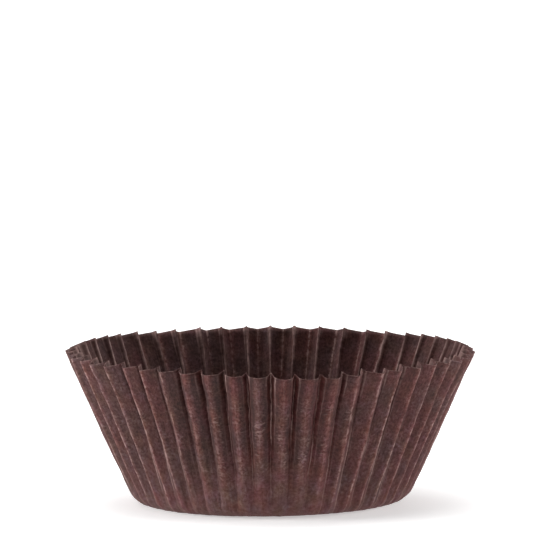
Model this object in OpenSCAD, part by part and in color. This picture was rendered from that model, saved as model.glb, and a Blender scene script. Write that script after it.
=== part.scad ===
// Cupcake liner: one flat round of baking paper pressed into an open cup with a pleated wall.
// Millimetres, +Z up. The cup rests on its base at z = 0 and its axis is the Z axis.
//
// The shape follows from the flat round. Pressing it in makes each circle on it shorter, but the
// paper does not shrink, so the spare length goes into pleats. They start from nothing at the edge
// of the base, where a circle keeps its length, and are deepest at the rim.

/* [Cup] */

// across the base, where the straight line of the wall would meet the ground
base_d = 50; // [40:0.5:60]

// across the rim, half way between ridges and valleys
rim_d = 74; // [64:0.5:90]

// height of the rim, half way between ridges and valleys
cup_h = 28; // [18:0.5:45]

// radius of the rounded corner between base and wall
corner_r = 3.5; // [1.5:0.1:5]

// thickness of the paper
paper_t = 0.06; // [0.04:0.01:0.12]

/* [Pleats] */

// number of pleats round the wall
pleat_count = 50; // [36:2:56]

// pleat depth as a share of what a sharp zigzag of the same paper would have
pleat_fill = 0.87; // [0.5:0.01:1]

// how round the ridges are, from 1 for a zigzag to 2 for arches that meet in sharp valleys
ridge_round = 2; // [1:0.05:2.5]

/* [Hidden] */

// colour of the paper
paper_colour = "#553b39";

// radius of the base, to where wall and ground would meet
base_r = base_d / 2;

// lean of the wall away from upright
wall_lean = atan((rim_d - base_d) / 2 / cup_h);

// angle that the rounded corner turns through
corner_turn = 90 - wall_lean;

// radius of the part of the base that stays flat
flat_r = base_r - corner_r * tan(corner_turn / 2);

// how much paper the corner uses, measured along the paper
corner_len = corner_r * corner_turn * PI / 180;

// height at which the straight wall starts
corner_h = corner_r * (1 - cos(corner_turn));

// how much paper the wall uses, measured along the paper
wall_len = (cup_h - corner_h) / cos(wall_lean);

// rings of points over the corner
corner_steps = 3;

// rings of points up the wall
wall_steps = 3;

// points on each side of a pleat, from valley to ridge
side_steps = 4;

// points round the whole cup
columns = pleat_count * side_steps * 2;

// rings of points from the edge of the flat base to the rim
rings = corner_steps + wall_steps + 1;

// How far along the corner a ring is, in degrees of turn.
function turn_at(ring) = corner_turn * min(ring / corner_steps, 1);

// How far up the wall a ring is, measured along the paper.
function climb_at(ring) = wall_len * max(ring - corner_steps, 0) / wall_steps;

// The plain cup without pleats, as distance from the axis and height.
function cup_point(ring) =
    let (turn = turn_at(ring))
    let (climb = climb_at(ring))
    [
        flat_r + corner_r * sin(turn) + climb * sin(wall_lean),
        corner_r * (1 - cos(turn)) + climb * cos(wall_lean)
    ];

// The radius that a ring had on the flat round of paper.
function flat_round_r(ring) =
    flat_r + corner_len * turn_at(ring) / corner_turn + climb_at(ring);

// Pleat depth, from the paper that the ring has to spare.
function pleat_depth(ring) =
    let (spare = pow(flat_round_r(ring), 2) - pow(cup_point(ring)[0], 2))
    pleat_fill * PI / pleat_count * sqrt(max(spare, 0));

// Position between valley and ridge: 0 in a valley, 1 on a ridge. Column 0 is a ridge.
function to_ridge(column) =
    abs((column % (side_steps * 2)) / side_steps - 1);

// The pleat's form across the wall: sharp in the valley and rounded over the ridge.
function pleat_wave(column) = 1 - pow(1 - to_ridge(column), ridge_round);

// A point in the middle of the paper's thickness.
function mid_point(ring, column) =
    let (plain = cup_point(ring))
    let (shift = pleat_depth(ring) * (pleat_wave(column) - 1 / 2))
    let (out = plain[0] + shift * sin(turn_at(ring)))
    let (up = plain[1] - shift * cos(turn_at(ring)))
    let (angle = 360 * column / columns)
    [out * cos(angle), out * sin(angle), up + paper_t / 2];

mid = [for (ring = [0 : rings - 1]) [for (column = [0 : columns - 1]) mid_point(ring, column)]];

function unit(v) = v / norm(v);

// From a point of the mid layer to the outside of the paper, half a thickness away. It is longer on
// a fold, so that the paper keeps its thickness on both sides of the fold.
function to_outside(ring, column) =
    let (here = mid[ring][column])
    let (before = unit(here - mid[ring][(column + columns - 1) % columns]))
    let (after = unit(mid[ring][(column + 1) % columns] - here))
    let (below = unit(here - mid[ring - 1][column]))
    let (above = ring < rings - 1 ? unit(mid[ring + 1][column] - here) : below)
    let (fold = 2 / norm(before + after))
    unit(cross(before + after, below + above)) * fold * paper_t / 2;

// Points of one face of the paper. Side is 1 for the outside and -1 for the inside.
function face_points(side) = [
    for (ring = [0 : rings - 1])
        for (column = [0 : columns - 1])
            ring == 0
                ? mid[ring][column] - [0, 0, side * paper_t / 2]
                : mid[ring][column] + side * to_outside(ring, column)
];

// Two triangles for each patch between rings and columns, the same on both sides of each pleat.
function wall_faces(first) = [
    for (ring = [0 : rings - 2])
        for (column = [0 : columns - 1])
            let (next = (column + 1) % columns)
            let (a = first + ring * columns + column)
            let (b = first + ring * columns + next)
            let (c = a + columns)
            let (d = b + columns)
            each column % (side_steps * 2) < side_steps
                ? [[a, c, d], [a, d, b]]
                : [[a, c, b], [b, c, d]]
];

function turned_over(faces) = [for (face = faces) [face[2], face[1], face[0]]];

// The round that closes one face of the base, from its middle.
function base_faces(first, middle) = [
    for (column = [0 : columns - 1])
        [first + column, first + (column + 1) % columns, middle]
];

// The cut edge of the paper at the rim.
function edge_faces(outer, inner) = [
    for (column = [0 : columns - 1])
        let (next = (column + 1) % columns)
        each [
            [outer + column, inner + column, inner + next],
            [outer + column, inner + next, outer + next]
        ]
];

// The pleated cup, as one closed skin round the paper.
module liner() {
    inside = rings * columns;
    last_ring = (rings - 1) * columns;
    points = concat(face_points(1), face_points(-1), [[0, 0, 0], [0, 0, paper_t]]);
    faces = concat(
        wall_faces(0),
        turned_over(wall_faces(inside)),
        base_faces(0, inside * 2),
        turned_over(base_faces(inside, inside * 2 + 1)),
        edge_faces(last_ring, inside + last_ring)
    );
    color(paper_colour)
        polyhedron(points = points, faces = faces);
}

liner();
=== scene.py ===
"""Dresses a cupcake liner: the pleated paper cup, its finish, and the studio it stands in."""

import math

import bpy
from mathutils import Matrix, Vector


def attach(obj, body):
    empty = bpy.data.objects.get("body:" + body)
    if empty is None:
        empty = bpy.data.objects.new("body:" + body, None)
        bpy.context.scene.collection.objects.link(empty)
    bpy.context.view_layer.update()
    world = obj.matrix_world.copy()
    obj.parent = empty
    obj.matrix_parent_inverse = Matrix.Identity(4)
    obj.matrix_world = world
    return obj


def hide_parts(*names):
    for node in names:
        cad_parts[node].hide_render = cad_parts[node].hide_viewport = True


bl_info = {
    "name": "Cupcake Liner",
    "version": (1, 0, 0),
    "blender": (4, 5, 0),
    "location": "View3D > Sidebar > Liner",
    "description": "Makes a pleated paper cupcake liner and a small studio round it",
    "category": "Add Mesh",
}

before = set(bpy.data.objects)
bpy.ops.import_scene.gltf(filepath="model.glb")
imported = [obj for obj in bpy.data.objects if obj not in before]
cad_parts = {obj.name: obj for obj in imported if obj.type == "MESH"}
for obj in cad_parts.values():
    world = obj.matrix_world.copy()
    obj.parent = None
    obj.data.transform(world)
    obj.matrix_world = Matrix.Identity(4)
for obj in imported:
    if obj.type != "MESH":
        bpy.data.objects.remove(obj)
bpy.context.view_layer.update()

SOLID = "liner"
BODY = "root"

MM = 0.001

# Kinds of node that come often.
MATH = "ShaderNodeMath"
VECTOR_MATH = "ShaderNodeVectorMath"
MAP_RANGE = "ShaderNodeMapRange"
COMBINE = "ShaderNodeCombineXYZ"
NOISE = "ShaderNodeTexNoise"
MIX = "ShaderNodeMix"

# Settings that come often. A Mix node takes its share in socket 0, numbers in 2 and 3, and colours
# in 6 and 7.
SMOOTH = {"interpolation_type": "SMOOTHSTEP"}
NUMBERS = {"data_type": "FLOAT"}
COLOURS = {"data_type": "RGBA"}
TINGE = {"data_type": "RGBA", "blend_type": "MULTIPLY"}

# Noise seldom goes below or above these two values, so patterns are read between them.
NOISE_ENDS = (0.3, 0.7)

# How the sheet is divided: columns of points to a pleat, and rings from the middle to the rim.
COLUMNS_PER_PLEAT = 18
FLAT_RINGS = 4
CORNER_RINGS = 8
WALL_RINGS = 38
ALL_RINGS = FLAT_RINGS + CORNER_RINGS + WALL_RINGS

# Columns stand closer to a valley than to a ridge, by this power of their even spacing.
COLUMN_CROWDING = 1.35

# Points that are closer than this become one, in the middle and where the sheet's ends meet.
WELD = 0.002 * MM

# Where the folds were handled, as an angle round the cup from +X, how far they are soft each way
# from there, and how far the softness reaches.
HANDLED_ANGLE = math.radians(266)
HANDLED_HALF_WIDTH = math.radians(15)
HANDLED_REACH = math.radians(36)

# Where the rim sags outwards, as an angle round the cup from +X, how far that reaches each way, and
# how far the rim goes out and down there.
SAG_ANGLE = math.radians(288)
SAG_REACH = math.radians(32)
SAG_OUT = 0.7 * MM
SAG_DOWN = 0.4 * MM

# The slit between two ridges: how far up the wall it takes to reach its depth, as a share of the
# wall, and how much deeper it is where the folds were handled, as a share of the pleat's depth.
SLIT_RISE = 0.45
SLIT_HANDLED = 0.14

# How much ridges and valleys differ by chance in size, and ridges in form, as shares, and how far
# both step sideways, in pleats.
RIDGE_SIZE = 0.10
VALLEY_SIZE = 0.12
RIDGE_FORM = 0.05
FOLD_STEP = 0.06

# Sideways sway of a fold, first slow and then in small kinks: the noise's scale over a circle of
# radius 1, how fast it passes by per mm of paper, and how far it reaches, in pleats.
SWAYS = ((6.0, 0.016, 0.04), (20.0, 0.035, 0.025))

# How far the folds lean over to both sides of the front, and how far they are moved towards it,
# both in pleats.
FOLD_LEAN = 0.3
FRONT_CROWDING = 0.25

# The cup is out of round by noise of this scale over a circle of radius 1, which passes by this
# fast per mm of paper. It moves the rim this far out, and this far down.
DRIFT_SCALE = 1.6
DRIFT_PER_MM = 0.02
DRIFT_OUT = 0.55 * MM
DRIFT_DOWN = 0.35 * MM

# Lift of the foot on the right, and sink on the left, as a share of the radius. It ends this far
# up the wall.
FOOT_TILT = 0.014
FOOT_TILT_END = 0.6

# Dents about 3 mm across, and gathers at the corner about 1 mm across and 8 mm long: the scale per
# mm or round the cup, and the depth.
DENTS_PER_MM = 0.33
DENT = 0.06 * MM
GATHERS_ROUND = 22.0
GATHERS_PER_MM = 0.12
GATHER = 0.10 * MM

# Radius of the cup half way up its wall, where the finish's patterns have their size.
WALL_R_MM = 31.0

# The photograph's frame, where the liner's middle lies in it, and how large it is there.
PHOTO_PX = 540
MIDDLE_PX = (270.9, 426.8)
PX_PER_MM = 5.41

# The camera looks at the liner's middle, from this high and this far in metres.
MIDDLE = Vector((0.0, 0.0, 0.014))
ELEVATION = math.radians(7.09)
DISTANCE = 2.0
SENSOR_MM = 36.0

# The softboxes: name, place, width and power.
SOFTBOXES = (
    ("softbox_above", (-0.2, 0.2, 2.0), 2.0, 40.0),
    ("softbox_left", (-1.2, -0.15, 0.2), 0.6, 19.2),
    ("softbox_right", (1.2, -0.1, 0.2), 0.6, 13.3),
)

# Light from all round, and the glow of the floor.
SKY_STRENGTH = 0.1
FLOOR_GLOW = 0.45

# The inputs of the cup's node tree: the name and kind of each, and the size that it takes.
CUP_INPUTS = (
    ("Base Diameter", "NodeSocketFloat", "base_d"),
    ("Rim Diameter", "NodeSocketFloat", "rim_d"),
    ("Height", "NodeSocketFloat", "height"),
    ("Corner Radius", "NodeSocketFloat", "corner_r"),
    ("Pleats", "NodeSocketInt", "pleats"),
    ("Pleat Fill", "NodeSocketFloat", "pleat_fill"),
    ("Ridge Roundness", "NodeSocketFloat", "ridge_round"),
    ("Handled Roundness", "NodeSocketFloat", "handled_round"),
    ("Slit", "NodeSocketFloat", "slit"),
    ("Unevenness", "NodeSocketFloat", "unevenness"),
    ("Seed", "NodeSocketInt", "seed"),
)


def add(tree, kind, inputs=(), **settings):
    """Adds a node, links or sets its inputs, and returns its first output in use."""
    node = tree.nodes.new(kind)
    for name, value in settings.items():
        setattr(node, name, value)
    pairs = inputs.items() if isinstance(inputs, dict) else enumerate(inputs)
    for key, value in pairs:
        if isinstance(value, bpy.types.NodeSocket):
            tree.links.new(value, node.inputs[key])
        else:
            node.inputs[key].default_value = value
    return next((output for output in node.outputs if output.enabled), None)


def linear(hex_colour):
    """An sRGB hex colour as linear red, green, blue and full alpha."""
    parts = [int(hex_colour[i : i + 2], 16) / 255 for i in (1, 3, 5)]
    bent = [c / 12.92 if c <= 0.04045 else ((c + 0.055) / 1.055) ** 2.4 for c in parts]
    return (*bent, 1.0)


class LinerSizes(bpy.types.PropertyGroup):
    """Sizes of the cup, and the form of its pleats."""

    base_d: bpy.props.FloatProperty(
        name="Base",
        description="Across the base, where the line of the wall would meet the ground",
        default=50 * MM,
        unit="LENGTH",
    )
    rim_d: bpy.props.FloatProperty(
        name="Rim",
        description="Across the rim, half way between ridges and valleys",
        default=74 * MM,
        unit="LENGTH",
    )
    height: bpy.props.FloatProperty(
        name="Height",
        description="Height of the rim, half way between ridges and valleys",
        default=28 * MM,
        unit="LENGTH",
    )
    corner_r: bpy.props.FloatProperty(
        name="Corner",
        description="Radius of the rounded corner between base and wall",
        default=3.5 * MM,
        unit="LENGTH",
    )
    paper_t: bpy.props.FloatProperty(
        name="Paper",
        description="Thickness of the paper",
        default=0.06 * MM,
        unit="LENGTH",
    )
    pleats: bpy.props.IntProperty(
        name="Pleats",
        description="Number of pleats round the wall",
        default=50,
    )
    pleat_fill: bpy.props.FloatProperty(
        name="Pleat fill",
        description="Pleat depth as a share of what a sharp zigzag of the same paper would have",
        default=0.87,
        subtype="FACTOR",
    )
    ridge_round: bpy.props.FloatProperty(
        name="Ridge roundness",
        description="Form of the crisp ridges, from 1 for a zigzag to 2 for round arches",
        default=1.06,
    )
    handled_round: bpy.props.FloatProperty(
        name="Handled ridge roundness",
        description="Form of the softer ridges at the front, on the same scale",
        default=1.7,
    )
    slit: bpy.props.FloatProperty(
        name="Slit",
        description="Share of the pleat depth at the rim that lies in a narrow slit between ridges",
        default=0.34,
        subtype="FACTOR",
    )
    unevenness: bpy.props.FloatProperty(
        name="Unevenness",
        description="How far the pleats stray from even ones, 0 for none",
        default=1.0,
        subtype="FACTOR",
    )
    seed: bpy.props.IntProperty(
        name="Seed",
        description="Which set of chance differences the pleats have",
        default=7,
    )


class LinerColours(bpy.types.PropertyGroup):
    """Colours of the dyed paper, with painted light and shade on the pleats."""

    paper: bpy.props.FloatVectorProperty(
        name="Paper",
        description="The dyed paper where it is flat and clean",
        size=4,
        subtype="COLOR",
        default=linear("#5d3b38"),
    )
    reddish: bpy.props.FloatVectorProperty(
        name="Reddish tinge",
        description="Laid over the dye where it runs to red",
        size=4,
        subtype="COLOR",
        default=linear("#ffebec"),
    )
    greyish: bpy.props.FloatVectorProperty(
        name="Greyish tinge",
        description="Laid over the dye where it runs to grey brown",
        size=4,
        subtype="COLOR",
        default=linear("#eefaf8"),
    )
    # Painted shade: the dark colour of the flanks stands in for the shade down between the pleats.
    shaded_flank: bpy.props.FloatVectorProperty(
        name="Flanks",
        description="Sides of the pleats, where the pressed paper is dense and keeps all its dye",
        size=4,
        subtype="COLOR",
        default=linear("#3f211f"),
    )
    # Painted shade on the flanks beside the softer ridges at the front, redder than the rest.
    shaded_handled_flank: bpy.props.FloatVectorProperty(
        name="Handled flanks",
        description="The same sides beside the softer ridges at the front, where they are redder",
        size=4,
        subtype="COLOR",
        default=linear("#421e1b"),
    )
    # Partly rubbed paler and partly painted highlight: the backs stand lighter than the painted
    # flank shade.
    ridge: bpy.props.FloatVectorProperty(
        name="Ridges",
        description="Backs of the pleats, rubbed a little paler",
        size=4,
        subtype="COLOR",
        default=linear("#55322f"),
    )
    # Rubbed fibres, and also the colour of the painted highlights along the folds and on the
    # crimps.
    crease_and_highlight: bpy.props.FloatVectorProperty(
        name="Creases",
        description="Fibres laid bare where the paper was folded hard",
        size=4,
        subtype="COLOR",
        default=linear("#90746f"),
    )


def fold_sway(tree, number, pleats, along_mm):
    """How far the fold of this number stands off sideways as it climbs, in pleats."""
    turn = add(tree, MATH, [number, math.tau], operation="MULTIPLY")
    turn = add(tree, MATH, [turn, pleats], operation="DIVIDE")
    turn_cos = add(tree, MATH, [turn], operation="COSINE")
    turn_sin = add(tree, MATH, [turn], operation="SINE")
    sway = 0.0
    for scale, per_mm, reach in SWAYS:
        lift = add(tree, MATH, [along_mm, per_mm], operation="MULTIPLY")
        at = add(tree, COMBINE, [turn_cos, turn_sin, lift])
        noise = add(tree, NOISE, {"Vector": at, "Scale": scale, "Detail": 1.0})
        noise = add(tree, MAP_RANGE, [noise, *NOISE_ENDS, -reach, reach])
        sway = add(tree, MATH, [sway, noise], operation="ADD")
    return sway


def dents_and_gathers(tree, flat_r):
    """How far the paper is pressed in or out.

    Dents in the wall are faint on the base. Fine gathers begin with the pleats at the corner, and
    fade up the wall.
    """
    along_mm = add(tree, "GeometryNodeInputNamedAttribute", {"Name": "along"}, data_type="FLOAT")
    along_mm = add(tree, MATH, [along_mm, 1 / MM], operation="MULTIPLY")
    here = add(tree, "GeometryNodeInputPosition")
    here_mm = add(tree, VECTOR_MATH, {0: here, "Scale": 1 / MM}, operation="SCALE")
    away = add(tree, VECTOR_MATH, [here, (1.0, 1.0, 0.0)], operation="MULTIPLY")
    away = add(tree, VECTOR_MATH, [away], operation="NORMALIZE")

    # Where each begins and ends, in mm past the edge of the flat base.
    flat_end = add(tree, MATH, [flat_r, 1 / MM], operation="MULTIPLY")
    dents_full = add(tree, MATH, [flat_end, 6.0], operation="ADD")
    gathers_full = add(tree, MATH, [flat_end, 2.0], operation="ADD")
    gathers_faint = add(tree, MATH, [flat_end, 14.0], operation="ADD")

    dent = add(tree, NOISE, {"Vector": here_mm, "Scale": DENTS_PER_MM, "Detail": 2.0})
    dent = add(tree, MAP_RANGE, [dent, *NOISE_ENDS, -DENT, DENT])
    on_side = add(tree, MAP_RANGE, [along_mm, flat_end, dents_full, 0.25, 1.0])
    dent = add(tree, MATH, [dent, on_side], operation="MULTIPLY")

    gather_at = add(tree, VECTOR_MATH, {0: away, "Scale": GATHERS_ROUND}, operation="SCALE")
    lift = add(tree, MATH, [along_mm, GATHERS_PER_MM], operation="MULTIPLY")
    lift = add(tree, COMBINE, {"Z": lift})
    gather_at = add(tree, VECTOR_MATH, [gather_at, lift], operation="ADD")
    gather = add(tree, NOISE, {"Vector": gather_at, "Scale": 1.0, "Detail": 1.0})
    gather = add(tree, MAP_RANGE, [gather, *NOISE_ENDS, -GATHER, GATHER])
    gather_in = add(tree, MAP_RANGE, [along_mm, flat_end, gathers_full, 0.0, 1.0])
    gather_out = add(tree, MAP_RANGE, [along_mm, gathers_full, gathers_faint, 1.0, 0.25])
    gather = add(tree, MATH, [gather, gather_in], operation="MULTIPLY")
    gather = add(tree, MATH, [gather, gather_out], operation="MULTIPLY")
    return add(tree, MATH, [dent, gather], operation="ADD")


def cup_tree(paper):
    """Node tree of the cup: a grid of rings and columns, bent by the rule of the flat round.

    Each ring of the flat round becomes shorter in the cup, the paper doesn't shrink, and the spare
    length goes into the pleats.
    """
    tree = bpy.data.node_groups.new("Pleated cup", "GeometryNodeTree")
    tree.is_modifier = True
    for name, kind, _ in CUP_INPUTS:
        tree.interface.new_socket(name, in_out="INPUT", socket_type=kind)
    tree.interface.new_socket("Geometry", in_out="OUTPUT", socket_type="NodeSocketGeometry")
    given = add(tree, "NodeGroupInput").node.outputs
    pleats, corner_r, uneven, seed = (
        given[name] for name in ("Pleats", "Corner Radius", "Unevenness", "Seed")
    )

    # The plain cup: lean of the wall, turn of the corner, and the paper that each part uses.
    flare = add(tree, MATH, [given["Rim Diameter"], given["Base Diameter"]], operation="SUBTRACT")
    flare = add(tree, MATH, [flare, 0.5], operation="MULTIPLY")
    lean = add(tree, MATH, [flare, given["Height"]], operation="ARCTAN2")
    lean_sin = add(tree, MATH, [lean], operation="SINE")
    lean_cos = add(tree, MATH, [lean], operation="COSINE")
    corner_turn = add(tree, MATH, [math.pi / 2, lean], operation="SUBTRACT")
    half_turn = add(tree, MATH, [corner_turn, 0.5], operation="MULTIPLY")
    cut_back = add(tree, MATH, [half_turn], operation="TANGENT")
    cut_back = add(tree, MATH, [cut_back, corner_r], operation="MULTIPLY")
    flat_r = add(tree, MATH, [given["Base Diameter"], 0.5], operation="MULTIPLY")
    flat_r = add(tree, MATH, [flat_r, cut_back], operation="SUBTRACT")
    corner_len = add(tree, MATH, [corner_r, corner_turn], operation="MULTIPLY")
    corner_h = add(tree, MATH, [1.0, lean_sin], operation="SUBTRACT")
    corner_h = add(tree, MATH, [corner_h, corner_r], operation="MULTIPLY")
    wall_len = add(tree, MATH, [given["Height"], corner_h], operation="SUBTRACT")
    wall_len = add(tree, MATH, [wall_len, lean_cos], operation="DIVIDE")

    # The sheet: X runs round the cup and Y from its middle to the rim, both from 0 to 1.
    columns = add(tree, MATH, [pleats, COLUMNS_PER_PLEAT, 1.0], operation="MULTIPLY_ADD")
    shape = add(
        tree,
        "GeometryNodeMeshGrid",
        {"Size X": 1.0, "Size Y": 1.0, "Vertices X": columns, "Vertices Y": ALL_RINGS + 1},
    )
    place = add(tree, "GeometryNodeInputPosition")
    place = add(tree, VECTOR_MATH, [place, (0.5, 0.5, 0.0)], operation="ADD")
    place = add(tree, "ShaderNodeSeparateXYZ", [place]).node.outputs
    round_way, out_way = place["X"], place["Y"]

    # How far a ring has got over the flat base, the corner and the wall, along the paper.
    flat_end = FLAT_RINGS / ALL_RINGS
    corner_end = (FLAT_RINGS + CORNER_RINGS) / ALL_RINGS
    on_flat = add(tree, MAP_RANGE, [out_way, 0.0, flat_end, 0.0, flat_r])
    on_corner = add(tree, MAP_RANGE, [out_way, flat_end, corner_end, 0.0, corner_len])
    on_wall = add(tree, MAP_RANGE, [out_way, corner_end, 1.0, 0.0, wall_len])
    turn = add(tree, MAP_RANGE, [out_way, flat_end, corner_end, 0.0, corner_turn])
    turn_sin = add(tree, MATH, [turn], operation="SINE")
    turn_cos = add(tree, MATH, [turn], operation="COSINE")
    along = add(tree, MATH, [on_flat, on_corner], operation="ADD")
    along = add(tree, MATH, [along, on_wall], operation="ADD")
    along_mm = add(tree, MATH, [along, 1 / MM], operation="MULTIPLY")
    climb = add(tree, MAP_RANGE, [out_way, flat_end, 1.0, 0.0, 1.0])
    ring_r = add(tree, MATH, [turn_sin, corner_r, on_flat], operation="MULTIPLY_ADD")
    ring_r = add(tree, MATH, [on_wall, lean_sin, ring_r], operation="MULTIPLY_ADD")
    ring_z = add(tree, MATH, [1.0, turn_cos], operation="SUBTRACT")
    ring_z = add(tree, MATH, [ring_z, corner_r], operation="MULTIPLY")
    ring_z = add(tree, MATH, [on_wall, lean_cos, ring_z], operation="MULTIPLY_ADD")

    # Pleat depth: the flat ring and the ring in the cup are two sides of a right triangle.
    flat_square = add(tree, MATH, [along, along], operation="MULTIPLY")
    cup_square = add(tree, MATH, [ring_r, ring_r], operation="MULTIPLY")
    spare = add(tree, MATH, [flat_square, cup_square], operation="SUBTRACT")
    spare = add(tree, MATH, [spare, 0.0], operation="MAXIMUM")
    spare = add(tree, MATH, [spare], operation="SQRT")
    depth = add(tree, MATH, [given["Pleat Fill"], math.pi], operation="MULTIPLY")
    depth = add(tree, MATH, [depth, pleats], operation="DIVIDE")
    depth = add(tree, MATH, [depth, spare], operation="MULTIPLY")

    # Place in the pleat: whole numbers are ridges. Fold runs from 0 in a valley to 1 on a ridge.
    # Side is -1 before the valley and 1 after it.
    even_place = add(tree, MATH, [round_way, pleats], operation="MULTIPLY")
    valley_id = add(tree, MATH, [even_place], operation="FLOOR")
    ridge_id = add(tree, MATH, [even_place], operation="ROUND")
    ridge_id = add(tree, MATH, [ridge_id, pleats], operation="MODULO")
    from_valley = add(tree, MATH, [even_place, valley_id], operation="SUBTRACT")
    from_valley = add(tree, MATH, [from_valley, 0.5], operation="SUBTRACT")
    side = add(tree, MATH, [from_valley], operation="SIGN")
    fold = add(tree, MATH, [from_valley], operation="ABSOLUTE")
    fold = add(tree, MATH, [fold, 2.0], operation="MULTIPLY")
    fold = add(tree, MATH, [fold, COLUMN_CROWDING], operation="POWER")
    from_ridge = add(tree, MATH, [1.0, fold], operation="SUBTRACT")

    # Chance: every ridge and valley has its own size, form, sideways step and tint.
    chance = {}
    for step, (name, spot) in enumerate(
        (
            ("ridge size", ridge_id),
            ("ridge step", ridge_id),
            ("ridge form", ridge_id),
            ("ridge tint", ridge_id),
            ("valley size", valley_id),
            ("valley step", valley_id),
        )
    ):
        own_seed = add(tree, MATH, [seed, float(step)], operation="ADD")
        draw = {2: -1.0, 3: 1.0, "ID": spot, "Seed": own_seed}
        chance[name] = add(tree, "FunctionNodeRandomValue", draw, data_type="FLOAT")
        if name != "ridge tint":
            chance[name] = add(tree, MATH, [chance[name], uneven], operation="MULTIPLY")

    # Where the folds were handled, and where the rim sags: 0 far from there and 1 at its middle.
    even_angle = add(tree, MATH, [round_way, math.tau], operation="MULTIPLY")
    even_cos = add(tree, MATH, [even_angle], operation="COSINE")
    even_sin = add(tree, MATH, [even_angle], operation="SINE")
    even_way = add(tree, COMBINE, [even_cos, even_sin])
    near = {}
    for name, spot_angle, reach, full in (
        ("handled", HANDLED_ANGLE, HANDLED_REACH, HANDLED_HALF_WIDTH),
        ("sag", SAG_ANGLE, SAG_REACH, 0.0),
    ):
        spot_way = (math.cos(spot_angle), math.sin(spot_angle), 0.0)
        nearness = add(tree, VECTOR_MATH, [even_way, spot_way], operation="DOT_PRODUCT")
        ends = [math.cos(reach), math.cos(full), 0.0, uneven]
        near[name] = add(tree, MAP_RANGE, [nearness.node.outputs["Value"], *ends], **SMOOTH)
    handled = near["handled"]

    # What goes from one value at a crisp fold to another at a handled one: the ridge's roundness,
    # where the slit starts on the way from ridge to valley and up the wall, and the fold's sway.
    roundness, slit_side, slit_foot, loose = (
        add(tree, MAP_RANGE, [handled, 0.0, 1.0, crisp, soft])
        for crisp, soft in (
            (given["Ridge Roundness"], given["Handled Roundness"]),
            (0.86, 0.68),
            (0.5, 0.3),
            (0.6, 1.0),
        )
    )

    # Form across a pleat: an arch over the ridge, and a narrow slit that opens towards the rim.
    form = [chance["ridge form"], RIDGE_FORM, roundness]
    roundness = add(tree, MATH, form, operation="MULTIPLY_ADD")
    arch = add(tree, MATH, [from_ridge, roundness], operation="POWER")
    slit = add(tree, MAP_RANGE, [from_ridge, slit_side, 1.0, 0.0, 1.0], **SMOOTH)
    slit_top = add(tree, MATH, [slit_foot, SLIT_RISE], operation="ADD")
    slit_deep = add(tree, MATH, [handled, SLIT_HANDLED, given["Slit"]], operation="MULTIPLY_ADD")
    slit_share = add(tree, MAP_RANGE, [climb, slit_foot, slit_top, 0.0, slit_deep])
    fall = add(tree, MIX, {0: slit_share, 2: arch, 3: slit}, **NUMBERS)
    wave = add(tree, MATH, [1.0, fall], operation="SUBTRACT")

    # The cup is a little out of round.
    lift = add(tree, MATH, [along_mm, DRIFT_PER_MM], operation="MULTIPLY")
    drift_at = add(tree, COMBINE, [even_cos, even_sin, lift])
    drift = add(tree, NOISE, {"Vector": drift_at, "Scale": DRIFT_SCALE, "Detail": 1.0})
    drift = add(tree, MAP_RANGE, [drift, *NOISE_ENDS, -1.0, 1.0])
    drift = add(tree, MATH, [drift, climb], operation="MULTIPLY")
    drift = add(tree, MATH, [drift, uneven], operation="MULTIPLY")

    # A fold wanders sideways as it climbs, and has small kinks. Both are read at the folds and
    # blended over the paper between them, so that columns never cross.
    valley_place = add(tree, MATH, [valley_id, 0.5], operation="ADD")
    valley_sway = fold_sway(tree, valley_place, pleats, along_mm)
    ridge_sway = fold_sway(tree, ridge_id, pleats, along_mm)
    wander = add(tree, MIX, {0: fold, 2: valley_sway, 3: ridge_sway}, **NUMBERS)
    loose = add(tree, MATH, [loose, uneven], operation="MULTIPLY")
    wander = add(tree, MATH, [wander, loose], operation="MULTIPLY")

    # The rim sags outwards at the front right, and the foot is pressed a little deeper on the left.
    rim_sag = add(tree, MATH, [near["sag"], climb], operation="MULTIPLY")
    tilt = add(tree, MAP_RANGE, [climb, 0.0, FOOT_TILT_END, uneven, 0.0])
    tilt = add(tree, MATH, [tilt, even_cos], operation="MULTIPLY")
    tilt = add(tree, MATH, [tilt, ring_r], operation="MULTIPLY")

    # Squeezed at the front and back, the cup's folds lean away from there to both sides, and stand
    # a little closer at the front.
    lean_over = add(tree, MATH, [even_cos, even_sin], operation="MULTIPLY")
    lean_over = add(tree, MATH, [lean_over, -FOLD_LEAN], operation="MULTIPLY")
    off_middle = add(tree, MATH, [fold, 0.5], operation="SUBTRACT")
    lean_over = add(tree, MATH, [lean_over, off_middle], operation="MULTIPLY")
    lean_over = add(tree, MATH, [even_cos, -FRONT_CROWDING, lean_over], operation="MULTIPLY_ADD")

    # Where the point goes round the cup, counted in pleats and then as an angle.
    step = add(tree, MATH, [chance["ridge step"], fold], operation="MULTIPLY")
    step = add(tree, MATH, [step, FOLD_STEP, wander], operation="MULTIPLY_ADD")
    step = add(tree, MATH, [lean_over, uneven, step], operation="MULTIPLY_ADD")
    valley_step = add(tree, MATH, [chance["valley step"], from_ridge], operation="MULTIPLY")
    step = add(tree, MATH, [valley_step, FOLD_STEP, step], operation="MULTIPLY_ADD")
    spot = add(tree, MATH, [fold, side], operation="MULTIPLY")
    spot = add(tree, MATH, [spot, 0.5, valley_id], operation="MULTIPLY_ADD")
    spot = add(tree, MATH, [spot, 0.5], operation="ADD")
    spot = add(tree, MATH, [spot, step], operation="ADD")
    angle = add(tree, MATH, [spot, math.tau], operation="MULTIPLY")
    angle = add(tree, MATH, [angle, pleats], operation="DIVIDE")
    angle_cos = add(tree, MATH, [angle], operation="COSINE")
    angle_sin = add(tree, MATH, [angle], operation="SINE")

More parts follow.
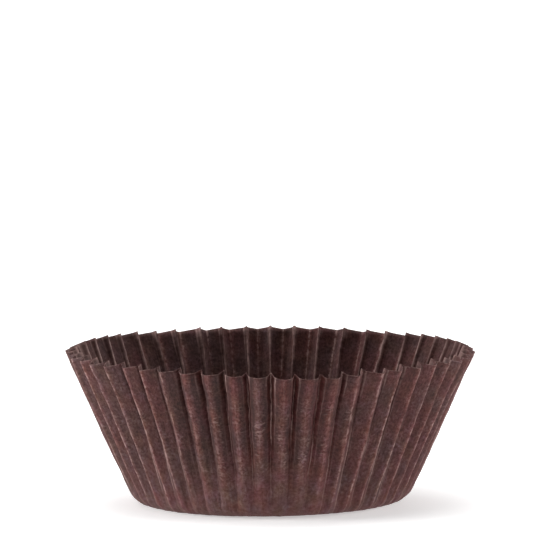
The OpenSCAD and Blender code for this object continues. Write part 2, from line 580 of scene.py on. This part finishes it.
    # How far the point stands out from the plain cup, as a share of the pleat and then in metres.
    stand = add(tree, MATH, [chance["ridge size"], RIDGE_SIZE, 1.0], operation="MULTIPLY_ADD")
    stand = add(tree, MATH, [stand, wave], operation="MULTIPLY")
    sink = add(tree, MATH, [chance["valley size"], fall], operation="MULTIPLY")
    stand = add(tree, MATH, [sink, VALLEY_SIZE, stand], operation="MULTIPLY_ADD")
    stand = add(tree, MATH, [stand, 0.5], operation="SUBTRACT")
    stand = add(tree, MATH, [stand, depth], operation="MULTIPLY")

    # The point's place in the cup.
    out = add(tree, MATH, [stand, turn_sin, ring_r], operation="MULTIPLY_ADD")
    out = add(tree, MATH, [drift, DRIFT_OUT, out], operation="MULTIPLY_ADD")
    out = add(tree, MATH, [rim_sag, SAG_OUT, out], operation="MULTIPLY_ADD")
    up = add(tree, MATH, [stand, turn_cos], operation="MULTIPLY")
    up = add(tree, MATH, [ring_z, up], operation="SUBTRACT")
    drift_down = add(tree, MATH, [drift, climb], operation="MULTIPLY")
    up = add(tree, MATH, [drift_down, -DRIFT_DOWN, up], operation="MULTIPLY_ADD")
    up = add(tree, MATH, [rim_sag, -SAG_DOWN, up], operation="MULTIPLY_ADD")
    up = add(tree, MATH, [tilt, FOOT_TILT, up], operation="MULTIPLY_ADD")
    cup_x = add(tree, MATH, [out, angle_cos], operation="MULTIPLY")
    cup_y = add(tree, MATH, [out, angle_sin], operation="MULTIPLY")
    cup_place = add(tree, COMBINE, [cup_x, cup_y, up])

    # What the finish reads: the place on the flat round, the place in the fold and its side, how
    # far along the paper it is from the middle and from the cut edge, the tint and the handling.
    to_edge = add(tree, MATH, [wall_len, on_wall], operation="SUBTRACT")
    flat_x = add(tree, MATH, [along, angle_cos], operation="MULTIPLY")
    flat_y = add(tree, MATH, [along, angle_sin], operation="MULTIPLY")
    flat_place = add(tree, COMBINE, [flat_x, flat_y])
    for name, kind, domain, value in (
        ("UVMap", "FLOAT2", "CORNER", flat_place),
        ("fold", "FLOAT", "POINT", fold),
        ("along", "FLOAT", "POINT", along),
        ("to_edge", "FLOAT", "POINT", to_edge),
        ("tint", "FLOAT", "POINT", chance["ridge tint"]),
        ("handled", "FLOAT", "POINT", handled),
        ("side", "FLOAT", "POINT", side),
    ):
        shape = add(
            tree,
            "GeometryNodeStoreNamedAttribute",
            {"Geometry": shape, "Name": name, "Value": value},
            data_type=kind,
            domain=domain,
        )
    shape = add(tree, "GeometryNodeSetPosition", {"Geometry": shape, "Position": cup_place})
    shape = add(tree, "GeometryNodeMergeByDistance", {"Geometry": shape, "Distance": WELD})

    press = add(tree, MATH, [dents_and_gathers(tree, flat_r), uneven], operation="MULTIPLY")
    normal = add(tree, "GeometryNodeInputNormal")
    press = add(tree, VECTOR_MATH, {0: normal, "Scale": press}, operation="SCALE")
    shape = add(tree, "GeometryNodeSetPosition", {"Geometry": shape, "Offset": press})
    shape = add(tree, "GeometryNodeSetShadeSmooth", {"Geometry": shape})
    shape = add(tree, "GeometryNodeRealizeInstances", {"Geometry": shape})
    shape = add(tree, "GeometryNodeSetMaterial", {"Geometry": shape, "Material": paper})
    add(tree, "NodeGroupOutput", {"Geometry": shape})
    return tree


def fold_patterns(tree, away, along_mm, on_wall):
    """Patterns that run with the folds, each by its size in mm round the cup and along the paper.

    They settle to their mean on the flat base, where there are no folds. Streaks run up the folds
    and crimps across them, in clusters. Beads are the short bits that a pale line breaks into.
    Patch and plum are where the dye strays.
    """
    patterns = {}
    for name, across_mm, long_mm, detail in (
        ("streak", 0.53, 9.0, 2.0),
        ("crimp", 0.9, 0.48, 1.0),
        ("patch", 3.9, 5.0, 1.0),
        ("bead", 0.9, 0.77, 2.0),
        ("cluster", 2.2, 4.2, 0.0),
        ("plum", 2.1, 3.3, 2.0),
    ):
        spread = {0: away, "Scale": WALL_R_MM / across_mm}
        spread = add(tree, VECTOR_MATH, spread, operation="SCALE")
        lift = add(tree, MATH, [along_mm, 1 / long_mm], operation="MULTIPLY")
        lift = add(tree, COMBINE, {"Z": lift})
        at = add(tree, VECTOR_MATH, [spread, lift], operation="ADD")
        noise = add(tree, NOISE, {"Vector": at, "Scale": 1.0, "Detail": detail})
        patterns[name] = add(tree, MIX, {0: on_wall, 2: 0.5, 3: noise}, **NUMBERS)
    return patterns


def pleat_colour(tree, colours, read, by_fold, pressed):
    """Colour by the form of the pleats, most where they are deep: painted shade on the flanks,
    and painted highlight on the backs, which are also rubbed.

    Handled flanks have painted shade that is darkest between slit and back, and darker to the left
    of the front.
    """
    fold, handled = read["fold"], read["handled"]
    # Painted highlight on the backs, against the painted shade of the flanks.
    back = [fold, by_fold["back from"], by_fold["back to"], 0.0, 1.0]
    on_back = add(tree, MAP_RANGE, back, **SMOOTH)
    # Painted shade on handled flanks: light low in the slit, darkest half way up, darker left of
    # the front.
    painted_flank_shade = add(tree, MAP_RANGE, [fold, 0.05, 0.42, 1.2, 0.62])
    painted_left_shade = add(tree, MAP_RANGE, [read["right"], -0.5, 0.05, 0.62, 1.0])
    painted_flank_shade = add(tree, MATH, [painted_flank_shade, painted_left_shade], operation="MULTIPLY")
    painted_flank_shade = add(tree, MIX, {0: handled, 2: 1.0, 3: painted_flank_shade}, **NUMBERS)
    shaded_flank = add(tree, MIX, {0: handled, 6: colours.shaded_flank, 7: colours.shaded_handled_flank}, **COLOURS)
    shaded_flank = add(tree, VECTOR_MATH, {0: shaded_flank, "Scale": painted_flank_shade}, operation="SCALE")
    pleat = add(tree, MIX, {0: on_back, 6: shaded_flank, 7: colours.ridge}, **COLOURS)
    return add(tree, MIX, {0: pressed, 6: colours.paper, 7: pleat}, **COLOURS)


def dye_tinge(tree, colours, colour, read, patch):
    """Patches and pleats whose dye runs to red or to grey. The right side of the cup is a little
    redder.
    """
    dyed = add(tree, MATH, [read["tint"], 0.05, patch], operation="MULTIPLY_ADD")
    dyed = add(tree, MATH, [read["right"], 0.10, dyed], operation="MULTIPLY_ADD")
    for full, tinge in ((0.64, colours.reddish), (0.36, colours.greyish)):
        share = add(tree, MAP_RANGE, [dyed, 0.5, full, 0.0, 1.0])
        colour = add(tree, MIX, {0: share, 6: colour, 7: tinge}, **TINGE)
    return colour


def dye_and_painted_light(tree, read, by_fold, patterns):
    """How light the dye is, with painted light and shade by height, as a share of its red, green
    and blue.

    Clouds, fibres, streaks and a fine hatch make it lighter and darker, and so does each pleat's
    tint. Painted light makes the foot lighter, and painted shade makes the rim darker, most at the
    front.
    """
    shade = {
        name: add(tree, MAP_RANGE, [patterns[name], *NOISE_ENDS, dark, pale])
        for name, dark, pale in (
            ("clouds", 0.6, 1.4),
            ("fibres", 0.26, 1.74),
            ("streak", 0.86, 1.14),
            ("bead", 0.72, 1.28),
            ("plum", 0.82, 1.18),
        )
    }
    # The foot was pressed least, and its clouds and fibres show least.
    mottled = add(tree, MAP_RANGE, [read["along"], 26.0, 38.0, 0.45, 1.0])
    for name in ("clouds", "fibres"):
        shade[name] = add(tree, MIX, {0: mottled, 2: 1.0, 3: shade[name]}, **NUMBERS)
    pleat = add(tree, MAP_RANGE, [read["tint"], -1.0, 1.0, 0.93, 1.07])
    # Painted light and shade by height: lighter at the foot, darker at the rim.
    height = [read["along"], 28.0, 54.0, by_fold["painted foot light"], by_fold["painted rim shade"]]
    painted_light_by_height = add(tree, MAP_RANGE, height)
    light = shade["clouds"]
    for part in (painted_light_by_height, shade["fibres"], shade["streak"], shade["bead"], pleat):
        light = add(tree, MATH, [light, part], operation="MULTIPLY")

    # Where it is darker, in the dye's own pattern and in the painted shade alike, it keeps more of
    # its red and less of its blue, and its blue also goes up and down by itself, from plum to
    # olive.
    red_light = add(tree, MATH, [light, 0.58], operation="POWER")
    blue_light = add(tree, MATH, [light, 1.14], operation="POWER")
    blue_light = add(tree, MATH, [blue_light, shade["plum"]], operation="MULTIPLY")
    return add(tree, COMBINE, [red_light, light, blue_light])


def crimped_part(tree, read, by_fold, patterns):
    """Where small crimps cross the backs of the pleats: in clusters in the middle of the wall."""
    crimped = add(tree, MAP_RANGE, [read["along"], 28.0, 36.0, 0.0, 1.0])
    rim_end = add(tree, MAP_RANGE, [read["along"], 45.0, 51.0, 1.0, 0.2])
    on_back = add(tree, MAP_RANGE, [read["fold"], 0.4, 0.7, 0.0, 1.0])
    clustered = add(tree, MAP_RANGE, [patterns["cluster"], 0.42, 0.6, 0.1, 1.5])
    for part in (rim_end, on_back, by_fold["crimps"], clustered):
        crimped = add(tree, MATH, [crimped, part], operation="MULTIPLY")
    return crimped


def wear_and_highlight_share(tree, read, by_fold, patterns, pressed, crimped):
    """How much of the paper takes the pale colour of rubbed fibres and painted highlight.

    Broken frayed lines on the ridges, beside the slits and in them, and specks on the crimps are
    rubbed fibres and painted highlight at once. A pale line along the cut edge is rubbed fibres
    only.
    """
    fold = read["fold"]
    rim_mm = (read["to_edge"], 0.0, 6.0)
    pale_line_patch = add(tree, MAP_RANGE, [patterns["streak"], 0.42, 0.6, 0.25, 1.0])
    beads = add(tree, MAP_RANGE, [patterns["bead"], *NOISE_ENDS, 0.6, 1.4])

    # Painted sheen along the crests, on rubbed fibres: strong on crisp ridges, faint on handled
    # ones.
    fray = add(tree, MAP_RANGE, [patterns["bead"], *NOISE_ENDS, -0.06, 0.06])
    frayed = add(tree, MATH, [fold, fray], operation="ADD")
    on_ridge = add(tree, MAP_RANGE, [frayed, 0.93, 0.98, 0.0, by_fold["ridge wear and sheen"]])

    # The line beside the slit is wider and stronger near the rim, and shows most on one side, where
    # it is a painted highlight on the lit edge.
    at_slit = add(tree, MATH, [fold, by_fold["slit side"]], operation="SUBTRACT")
    at_slit = add(tree, MATH, [at_slit], operation="ABSOLUTE")
    strength = add(tree, MAP_RANGE, [*rim_mm, 1.0, 0.3])
    one_side = add(tree, MAP_RANGE, [read["side"], -0.2, 0.2, 0.3, 1.0])
    strength = add(tree, MATH, [strength, one_side], operation="MULTIPLY")
    line_to = add(tree, MAP_RANGE, [*rim_mm, 0.09, 0.05])
    at_slit = add(tree, MAP_RANGE, [at_slit, 0.0, line_to, strength, 0.0])
    # A pale line down in the slit: rubbed fibres and painted highlight.
    in_slit = add(tree, MAP_RANGE, [fold, 0.04, 0.10, 0.9, 0.0])

    rubbed_and_lit = add(tree, MATH, [on_ridge, at_slit], operation="ADD")
    rubbed_and_lit = add(tree, MATH, [rubbed_and_lit, in_slit], operation="ADD")
    for part in (pale_line_patch, beads, pressed):
        rubbed_and_lit = add(tree, MATH, [rubbed_and_lit, part], operation="MULTIPLY")

    # Pale specks on the crimps: rubbed fibres and painted glints.
    specks = add(tree, MAP_RANGE, [patterns["crimp"], 0.54, 0.68, 0.0, 0.27])
    specks = add(tree, MATH, [specks, crimped], operation="MULTIPLY")
    rubbed_and_lit = add(tree, MATH, [rubbed_and_lit, specks], operation="MAXIMUM")

    cut_edge = add(tree, MAP_RANGE, [read["to_edge"], 0.2, 0.05, 0.0, 0.35])
    off_valley = add(tree, MAP_RANGE, [fold, 0.1, 0.3, 0.2, 1.0])
    for part in (pale_line_patch, off_valley):
        cut_edge = add(tree, MATH, [cut_edge, part], operation="MULTIPLY")
    return add(tree, MATH, [rubbed_and_lit, cut_edge], operation="MAXIMUM")


def baking_paper(colours):
    """Greaseproof baking paper, dyed in the pulp and pressed into pleats between heated dies.

    The eye sees a dark matt brown with a soft sheen and cloudy fibres. Its dye runs to red and
    grey, plum and olive, in patches and from pleat to pleat. The pleats have painted shade on their
    flanks and painted highlight on their rubbed backs, pale broken lines of rubbed fibres and
    painted highlight along the hard folds, and small crimps across the ridges. The foot is painted
    lighter and the rim darker.
    """
    material = bpy.data.materials.new("Greaseproof baking paper")
    material.use_nodes = True
    tree = material.node_tree
    tree.nodes.clear()

    # What the cup's tree left on the paper: see there. Distances along the paper are turned to mm,
    # with the corner from 23 to 27 mm and the rim at 55 mm.
    read = {
        name: add(tree, "ShaderNodeAttribute", attribute_name=name).node.outputs["Fac"]
        for name in ("fold", "tint", "handled", "side", "along", "to_edge")
    }
    for name in ("along", "to_edge"):
        read[name] = add(tree, MATH, [read[name], 1 / MM], operation="MULTIPLY")
    flat_mm = add(tree, "ShaderNodeUVMap", uv_map="UVMap")
    flat_mm = add(tree, VECTOR_MATH, {0: flat_mm, "Scale": 1 / MM}, operation="SCALE")
    here = add(tree, "ShaderNodeTexCoord").node.outputs["Object"]
    away = add(tree, VECTOR_MATH, [here, (1.0, 1.0, 0.0)], operation="MULTIPLY")
    away = add(tree, VECTOR_MATH, [away], operation="NORMALIZE")

    # The side of the cup, from -1 on the left to 1 on the right.
    read["right"] = add(tree, "ShaderNodeSeparateXYZ", [away]).node.outputs["X"]

    # The base has no folds, so what goes with them comes in over the corner.
    on_wall = add(tree, MAP_RANGE, [read["along"], 21.0, 27.0, 0.0, 1.0])
    for name in ("tint", "handled"):
        read[name] = add(tree, MATH, [read[name], on_wall], operation="MULTIPLY")
    patterns = fold_patterns(tree, away, read["along"], on_wall)

    # The sheet's clouds are 2 to 3 mm across. Its fibres are about 0.3 mm and its grain about
    # 0.15 mm, which is too fine to show, and both are drawn twice as coarse.
    for name, size_mm, settings in (
        ("clouds", 2.2, {"Detail": 3.0}),
        ("fibres", 0.55, {"Detail": 3.0, "Roughness": 0.65}),
        ("grain", 0.31, {"Detail": 2.0}),
    ):
        spot = {"Vector": flat_mm, "Scale": 1 / size_mm}
        patterns[name] = add(tree, NOISE, {**spot, **settings})

    # What goes from one value at a crisp fold to another at a handled one.
    # Among these: the width of the painted highlight on the backs, painted foot light and rim
    # shade, and ridge sheen.
    by_fold = {
        name: add(tree, MAP_RANGE, [read["handled"], 0.0, 1.0, crisp, soft])
        for name, crisp, soft in (
            ("pressed from", 20.0, 26.0),
            ("pressed to", 30.5, 40.0),
            ("back from", 0.7, 0.5),
            ("back to", 0.97, 0.98),
            ("painted foot light", 1.21, 1.14),
            ("painted rim shade", 0.97, 0.80),
            ("ridge wear and sheen", 0.68, 0.2),
            ("slit side", 0.15, 0.33),
            ("crimps", 0.35, 1.0),
        )
    }

    # How much painted shade and highlight the pleats carry, and how much their pale lines show:
    # little at the foot, where the pleats are shallow, and more towards the rim.
    press = [read["along"], by_fold["pressed from"], by_fold["pressed to"], 0.0, 0.85]
    pressed = add(tree, MAP_RANGE, press)
    colour = pleat_colour(tree, colours, read, by_fold, pressed)
    colour = dye_tinge(tree, colours, colour, read, patterns["patch"])
    light = dye_and_painted_light(tree, read, by_fold, patterns)
    colour = add(tree, VECTOR_MATH, [colour, light], operation="MULTIPLY")
    crimped = crimped_part(tree, read, by_fold, patterns)
    # Pale lines and specks: rubbed fibres and painted highlight.
    rubbed_and_lit = wear_and_highlight_share(tree, read, by_fold, patterns, pressed, crimped)
    colour = add(tree, MIX, {0: rubbed_and_lit, 6: colour, 7: colours.crease_and_highlight}, **COLOURS)

    # Relief in mm: grain, streaks along the folds and crimps across the ridges.
    relief = add(tree, MATH, [patterns["grain"], 0.02], operation="MULTIPLY")
    relief = add(tree, MATH, [patterns["streak"], 0.10, relief], operation="MULTIPLY_ADD")
    crimps = add(tree, MATH, [patterns["crimp"], crimped], operation="MULTIPLY")
    relief = add(tree, MATH, [crimps, 0.17, relief], operation="MULTIPLY_ADD")
    bump = add(tree, "ShaderNodeBump", {"Strength": 1.0, "Distance": MM, "Height": relief})

    surface = add(
        tree,
        "ShaderNodeBsdfPrincipled",
        {
            "Base Color": colour,
            "Roughness": add(tree, MAP_RANGE, [patterns["clouds"], *NOISE_ENDS, 0.60, 0.74]),
            "IOR": 1.45,
            "Specular IOR Level": 0.28,
            "Normal": bump,
        },
    )
    add(tree, "ShaderNodeOutputMaterial", {"Surface": surface})
    return material


def white_acrylic():
    """White acrylic sheet, cast with a matt face and lit from behind.

    The eye sees an even pale ground without a horizon, and only a faint shadow on it.
    """
    material = bpy.data.materials.new("White acrylic")
    material.use_nodes = True
    tree = material.node_tree
    tree.nodes.clear()
    surface = add(
        tree,
        "ShaderNodeBsdfPrincipled",
        {
            "Base Color": linear("#f0f0f0"),
            "Roughness": 0.8,
            "Emission Color": linear("#ffffff"),
            "Emission Strength": FLOOR_GLOW,
        },
    )
    add(tree, "ShaderNodeOutputMaterial", {"Surface": surface})
    return material


class LINER_OT_cup(bpy.types.Operator):
    """Makes the pleated paper cup in the place of its solid"""

    bl_idname = "liner.cup"
    bl_label = "Pleated cup"

    def execute(self, context):
        sizes = context.scene.liner_sizes
        tree = cup_tree(baking_paper(context.scene.liner_colours))
        source = bpy.data.objects.new("pleated_cup_source", bpy.data.meshes.new("source"))
        context.collection.objects.link(source)
        bend = source.modifiers.new("Pleats", "NODES")
        bend.node_group = tree
        size_of = {name: size for name, _, size in CUP_INPUTS}
        for socket in tree.interface.items_tree:
            if socket.in_out == "INPUT":
                bend[socket.identifier] = getattr(sizes, size_of[socket.name])
        thicken = source.modifiers.new("Paper thickness", "SOLIDIFY")
        thicken.thickness = sizes.paper_t
        thicken.offset = 0.0
        thicken.use_even_offset = True
        made = source.evaluated_get(context.evaluated_depsgraph_get())
        shape = bpy.data.meshes.new_from_object(made)
        bpy.data.objects.remove(source)
        shape.transform(Matrix.Translation((0.0, 0.0, -min(v.co.z for v in shape.vertices))))
        cup = bpy.data.objects.new("pleated_cup", shape)
        context.collection.objects.link(cup)
        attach(cup, BODY)
        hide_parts(SOLID)
        return {"FINISHED"}


class LINER_OT_studio(bpy.types.Operator):
    """Makes the floor, the backdrop, the soft lights and the camera"""

    bl_idname = "liner.studio"
    bl_label = "Studio"

    def execute(self, context):
        # The floor bends up into the backdrop. Sizes are in metres.
        half_width, front, back, wall_top, bend_r = 5.0, -5.0, 3.5, 5.0, 1.0
        steps = 16
        profile = [(front, 0.0)]
        for i in range(steps + 1):
            turn = math.pi / 2 * i / steps
            profile.append((back + bend_r * math.sin(turn), bend_r * (1 - math.cos(turn))))
        profile.append((back + bend_r, wall_top))
        verts = [(x, y, z) for y, z in profile for x in (-half_width, half_width)]
        faces = [(2 * i, 2 * i + 1, 2 * i + 3, 2 * i + 2) for i in range(len(profile) - 1)]
        sweep = bpy.data.meshes.new("sweep")
        sweep.from_pydata(verts, [], faces)
        sweep.shade_smooth()
        sweep.materials.append(white_acrylic())
        floor = bpy.data.objects.new("floor", sweep)
        context.collection.objects.link(floor)

        for name, place, size, power in SOFTBOXES:
            light = bpy.data.lights.new(name, "AREA")
            light.shape = "SQUARE"
            light.size = size
            light.energy = power
            lamp = bpy.data.objects.new(name, light)
            lamp.location = place
            lamp.rotation_euler = (MIDDLE - Vector(place)).to_track_quat("-Z", "Y").to_euler()
            context.collection.objects.link(lamp)

        world = bpy.data.worlds.new("studio")
        world.use_nodes = True
        sky = world.node_tree.nodes["Background"].inputs
        sky["Color"].default_value = (1.0, 1.0, 1.0, 1.0)
        sky["Strength"].default_value = SKY_STRENGTH
        context.scene.world = world
        context.scene.view_settings.view_transform = "Standard"

        px_per_radian = PX_PER_MM * DISTANCE / MM
        data = bpy.data.cameras.new("camera")
        data.sensor_width = SENSOR_MM
        data.lens = px_per_radian * SENSOR_MM / PHOTO_PX
        data.clip_start, data.clip_end = 0.05, 20.0
        camera = bpy.data.objects.new("camera", data)
        back_way = Vector((0.0, -math.cos(ELEVATION), math.sin(ELEVATION)))
        camera.location = MIDDLE + back_way * DISTANCE
        right_px, down_px = (p - PHOTO_PX / 2 for p in MIDDLE_PX)
        look = (-back_way).to_track_quat("-Z", "Y").to_matrix()
        look = look @ Matrix.Rotation(math.atan(down_px / px_per_radian), 3, "X")
        look = look @ Matrix.Rotation(math.atan(right_px / px_per_radian), 3, "Y")
        camera.rotation_euler = look.to_euler()
        context.collection.objects.link(camera)
        context.scene.camera = camera
        return {"FINISHED"}


class LINER_PT_panel(bpy.types.Panel):
    """The liner's sizes, colours and makers"""

    bl_label = "Cupcake liner"
    bl_idname = "LINER_PT_panel"
    bl_space_type = "VIEW_3D"
    bl_region_type = "UI"
    bl_category = "Liner"

    def draw(self, context):
        for group in (context.scene.liner_sizes, context.scene.liner_colours):
            box = self.layout.box()
            for name in group.__annotations__:
                box.prop(group, name)
        for maker in (LINER_OT_cup, LINER_OT_studio):
            self.layout.operator(maker.bl_idname)


CLASSES = (LinerSizes, LinerColours, LINER_OT_cup, LINER_OT_studio, LINER_PT_panel)


def register():
    for each in CLASSES:
        bpy.utils.register_class(each)
    bpy.types.Scene.liner_sizes = bpy.props.PointerProperty(type=LinerSizes)
    bpy.types.Scene.liner_colours = bpy.props.PointerProperty(type=LinerColours)


def unregister():
    del bpy.types.Scene.liner_colours
    del bpy.types.Scene.liner_sizes
    for each in reversed(CLASSES):
        bpy.utils.unregister_class(each)


def main():
    register()
    bpy.ops.liner.cup()
    bpy.ops.liner.studio()


if __name__ == "__main__":
    main()
